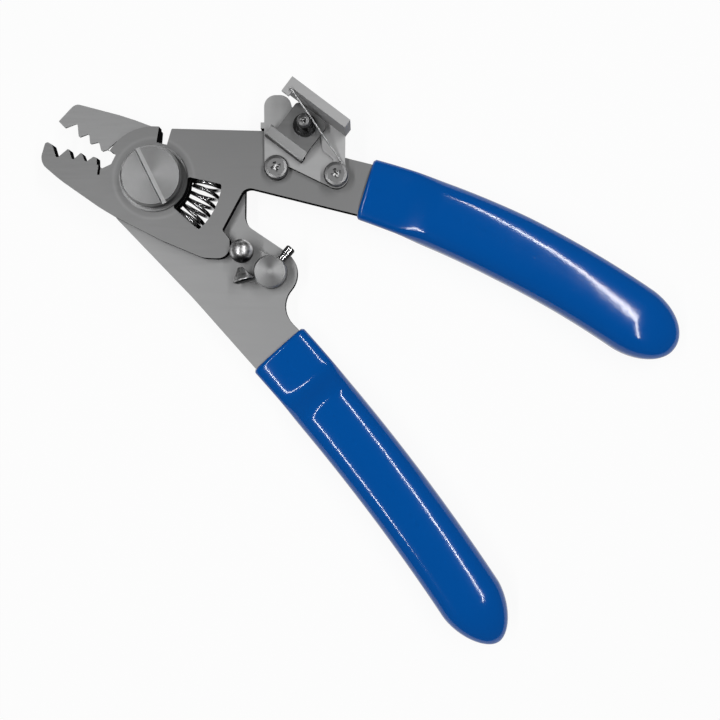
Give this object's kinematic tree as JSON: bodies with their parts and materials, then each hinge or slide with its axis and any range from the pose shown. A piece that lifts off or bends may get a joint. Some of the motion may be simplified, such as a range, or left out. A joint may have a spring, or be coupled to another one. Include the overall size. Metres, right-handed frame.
{
  "type": "fibre stripper",
  "caption": "Hand tool with lapped plate jaws, graded notches, a bow return spring, dipped grips, a turn-away opening stop and a fibre clamp.",
  "frame": {"origin": "centre of the pivot nut's outer face, on the pivot axis, in the plane the tool lies on", "axes": "+Z along the pivot axis from the nut to the screw head, +X from the pivot towards the handles' side, +Y towards the clamp's side"},
  "size_m": [0.1603, 0.1395, 0.0189],
  "materials": {
    "front_steel": "satin",
    "back_steel": "satin",
    "fittings": "turned",
    "polished": "polished",
    "clip_steel": "dark satin",
    "spring_wire": "drawn wire",
    "grip": "glossy dipped vinyl"
  },
  "bodies": {
    "back": {"back_plate": "back_steel", "back_grip": "grip", "pivot_screw": "fittings", "pivot_washer": "fittings", "pivot_nut": "fittings", "return_spring": "spring_wire"},
    "front": {"front_plate": "front_steel", "front_grip": "grip", "clamp_bracket": "back_steel", "bracket_screw_left": "fittings", "lever_screw": "fittings", "clip_spacer": "fittings", "clip_plate": "clip_steel", "clip_washer": "fittings", "clip_lockwasher": "fittings", "clip_screw": "fittings", "clip_nut": "fittings"},
    "stop": {"stop_arm": "back_steel", "stop_ball": "polished", "stop_cone": "polished", "stop_knob": "fittings", "stop_peg": "polished", "stop_axle": "fittings"},
    "lever": {"thumb_lever": "back_steel", "lever_spring": "polished"}
  },
  "joints": [
    {"name": "pivot", "type": "hinge", "parent": "back", "child": "front", "pos_m": [0, 0, 0], "axis": [0, 0, -1], "range_deg": [0, 15.6], "stiffness_Nm_per_rad": 1.5, "springref_deg": -17.19, "deforming": ["return_spring"]},
    {"name": "stop_swing", "type": "hinge", "parent": "back", "child": "stop", "pos_m": [0.0292, -0.0234, 0], "axis": [0, 0, 1], "range_deg": [0, 60]},
    {"name": "lever_turn", "type": "hinge", "parent": "front", "child": "lever", "pos_m": [0.0457, 0.0003, 0], "axis": [0, 0, -1], "range_deg": [0, 25], "stiffness_Nm_per_rad": 0.02, "springref_deg": -17.19}
  ]
}
